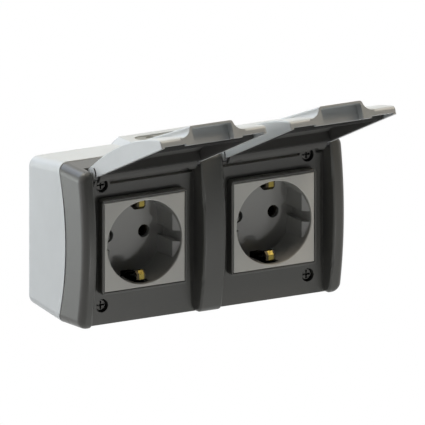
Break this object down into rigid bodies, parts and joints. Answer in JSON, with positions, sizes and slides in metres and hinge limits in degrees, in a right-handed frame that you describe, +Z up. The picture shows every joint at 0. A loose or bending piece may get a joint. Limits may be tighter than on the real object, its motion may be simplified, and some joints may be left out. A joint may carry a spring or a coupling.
{
  "type": "outdoor double wall socket",
  "caption": "Surface-mounted weatherproof twin power socket with round earthed recesses and two hinged splash lids, held open.",
  "frame": {"origin": "on the wall plane, midway between the two sockets", "axes": "+X along the pair of sockets, +Y into the wall, +Z up; the sockets face -Y"},
  "size_m": [0.1388, 0.1105, 0.1083],
  "materials": {
    "box_grey": "fine matt moulding",
    "frame_dark": "fine matt moulding",
    "cover_grey": "smooth moulding",
    "insulator": "matt moulding",
    "brass": "rolled strip",
    "steel": "zinc plated",
    "screw_dark": "black",
    "lid_light": "smooth moulding",
    "lid_dark": "matt moulding",
    "seal": "soft rubber",
    "grommet": "soft rubber"
  },
  "bodies": {
    "housing": {"back_box": "box_grey", "cable_entry_membrane": "grommet", "frame_seal": "seal", "front_frame": "frame_dark", "frame_screws": "screw_dark", "left_socket_cover": "cover_grey", "left_contact_base": "insulator", "left_earth_strap": "brass", "left_pin_contact_a": "brass", "left_pin_contact_b": "brass", "left_terminal_screws": "steel", "left_base_screws": "steel", "left_hinge_pin": "steel", "right_socket_cover": "cover_grey", "right_contact_base": "insulator", "right_earth_strap": "brass", "right_pin_contact_a": "brass", "right_pin_contact_b": "brass", "right_terminal_screws": "steel", "right_base_screws": "steel", "right_hinge_pin": "steel"},
    "left_lid": {"left_lid_shell": "lid_light", "left_lid_liner": "lid_dark", "left_lid_gasket": "seal"},
    "right_lid": {"right_lid_shell": "lid_light", "right_lid_liner": "lid_dark", "right_lid_gasket": "seal"}
  },
  "joints": [
    {"name": "left_lid_hinge", "type": "hinge", "parent": "housing", "child": "left_lid", "pos_m": [-0.03395, -0.0458, 0.0357], "axis": [1, 0, 0], "range_deg": [0, 114.5]},
    {"name": "right_lid_hinge", "type": "hinge", "parent": "housing", "child": "right_lid", "pos_m": [0.03395, -0.0458, 0.0357], "axis": [1, 0, 0], "range_deg": [0, 114.5]}
  ]
}
